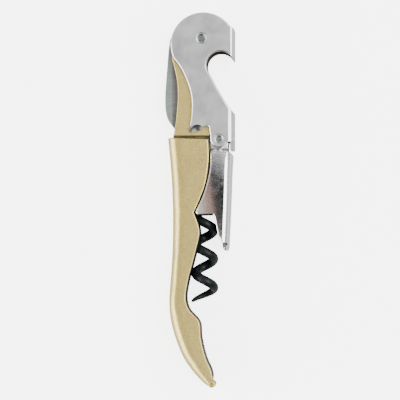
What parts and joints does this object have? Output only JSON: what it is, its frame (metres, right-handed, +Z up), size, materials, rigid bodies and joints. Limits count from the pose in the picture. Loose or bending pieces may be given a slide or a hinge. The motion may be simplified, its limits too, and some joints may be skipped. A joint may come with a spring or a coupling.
{
  "type": "lever corkscrew",
  "caption": "Folding double-lever corkscrew with a U-shaped grip, a bottle-opener notch, a wire worm and a foil-cutter blade.",
  "frame": {"origin": "centre of the folded tool's outline, on the surface that it lies on", "axes": "+Y from the tail to the head, +X from the back of the grip to the levers, +Z up out of the side face; every hinge axis is along Z"},
  "size_m": [0.0225, 0.1199, 0.0138],
  "materials": {
    "grip_gold": "satin champagne gold lacquer on steel",
    "neck_gold": "satin champagne gold lacquer outside, bare steel inside",
    "lever_chrome": "polished plate",
    "rivet_steel": "turned and polished",
    "blade_steel": "ground",
    "worm_black": "satin black non-stick coat",
    "inner_steel": "zinc plated"
  },
  "bodies": {
    "handle": {"handle_cover": "grip_gold", "frame": "neck_gold", "head_rivet": "rivet_steel", "blade_spacer_near": "inner_steel", "blade_spacer_far": "inner_steel", "blade_washer_near": "inner_steel", "blade_washer_far": "inner_steel", "worm_pin": "inner_steel", "worm_spacer_near": "inner_steel", "worm_spacer_far": "inner_steel"},
    "first_lever": {"upper_lever": "lever_chrome", "knee_rivet": "rivet_steel", "knee_spacer": "inner_steel"},
    "second_lever": {"lower_lever": "lever_chrome"},
    "foil_blade": {"blade": "blade_steel"},
    "screw": {"worm": "worm_black", "worm_hub": "inner_steel"}
  },
  "joints": [
    {"name": "upper_lever_hinge", "type": "hinge", "parent": "handle", "child": "first_lever", "pos_m": [0.00087, 0.05226, 0.0069], "axis": [0, 0, 1], "range_deg": [0, 145]},
    {"name": "lower_lever_hinge", "type": "hinge", "parent": "first_lever", "child": "second_lever", "pos_m": [0.00652, 0.0199, 0.0069], "axis": [0, 0, 1], "range_deg": [-60, 0]},
    {"name": "worm_hinge", "type": "hinge", "parent": "handle", "child": "screw", "pos_m": [-0.001, 0.0156, 0.0069], "axis": [0, 0, 1], "range_deg": [0, 90]},
    {"name": "blade_hinge", "type": "hinge", "parent": "handle", "child": "foil_blade", "pos_m": [0.00087, 0.05226, 0.0069], "axis": [0, 0, 1], "range_deg": [-150, 0]}
  ],
  "couplings": [
    {"joint": "lower_lever_hinge", "follows": "upper_lever_hinge", "ratio": -0.4},
    {"joint": "worm_hinge", "follows": "upper_lever_hinge", "ratio": 0.6}
  ]
}
